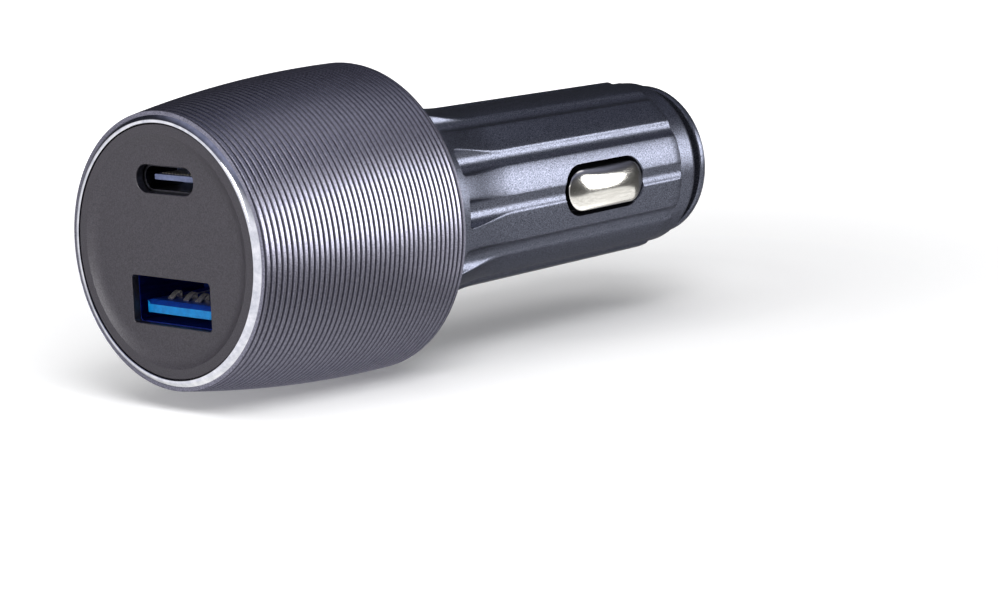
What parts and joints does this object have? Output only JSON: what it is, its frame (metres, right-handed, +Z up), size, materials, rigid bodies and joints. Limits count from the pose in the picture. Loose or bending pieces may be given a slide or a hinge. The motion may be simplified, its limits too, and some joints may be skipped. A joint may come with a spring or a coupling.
{
  "type": "car usb charger",
  "caption": "Car charger plug: ring-grooved metal head with USB-A and USB-C ports in a dished face, and a fluted barrel with sprung tip and side contacts for a 12 V socket.",
  "frame": {"origin": "on the plug's axis, in the plane of the head's rear edge, where the barrel starts", "axes": "+Y along the plug's axis towards the sprung tip, the ports face -Y, +Z up through the USB-C port, side contacts at +X and -X"},
  "size_m": [0.0356, 0.0884, 0.0356],
  "materials": {
    "anodised_aluminium": "satin grey anodised, with a bright cut rim",
    "face_plastic": "matte dark grey, fine spark texture",
    "barrel_plastic": "dark blue-grey metallic paint, satin",
    "nickel_plate": "polished nickel plate",
    "spring_steel": "plain bright steel",
    "brass_plate": "plain brass",
    "board_laminate": "green solder resist",
    "black_plastic": "matte black",
    "gold_plate": "thin gold plate",
    "port_steel": "tinned steel",
    "blue_plastic": "bright blue",
    "grey_plastic": "grey",
    "ferrite": "dark moulded powder",
    "can_aluminium": "bright drawn can"
  },
  "bodies": {
    "housing": {"head_sleeve": "anodised_aluminium", "face_plate": "face_plastic", "plug_barrel": "barrel_plastic", "nose_cap": "barrel_plastic", "pin_spring": "spring_steel", "positive_terminal": "brass_plate", "contact_spring_right": "spring_steel", "contact_spring_left": "spring_steel", "earth_strap": "spring_steel", "main_board": "board_laminate", "usb_c_board": "board_laminate", "header_base": "black_plastic", "header_pins": "gold_plate", "usb_a_shell": "port_steel", "usb_a_tongue": "blue_plastic", "usb_a_contacts": "gold_plate", "usb_c_shell": "port_steel", "usb_c_tongue": "grey_plastic", "usb_c_contacts": "gold_plate", "power_choke": "ferrite", "input_capacitor": "can_aluminium", "output_capacitor": "can_aluminium", "converter_chip": "black_plastic", "controller_chip": "black_plastic"},
    "tip": {"centre_pin": "nickel_plate"},
    "right_contact": {"side_contact_right": "nickel_plate"},
    "left_contact": {"side_contact_left": "nickel_plate"}
  },
  "joints": [
    {"name": "tip_press", "type": "slide", "parent": "housing", "child": "tip", "axis": [0, -1, 0], "range_m": [0, 0.0025], "stiffness_N_per_m": 500, "springref_m": -0.003, "deforming": ["pin_spring"]},
    {"name": "right_contact_press", "type": "slide", "parent": "housing", "child": "right_contact", "axis": [-1, 0, 0], "range_m": [0, 0.0015], "stiffness_N_per_m": 1500, "springref_m": -0.001, "deforming": ["contact_spring_right"]},
    {"name": "left_contact_press", "type": "slide", "parent": "housing", "child": "left_contact", "axis": [1, 0, 0], "range_m": [0, 0.0015], "stiffness_N_per_m": 1500, "springref_m": -0.001, "deforming": ["contact_spring_left"]}
  ]
}
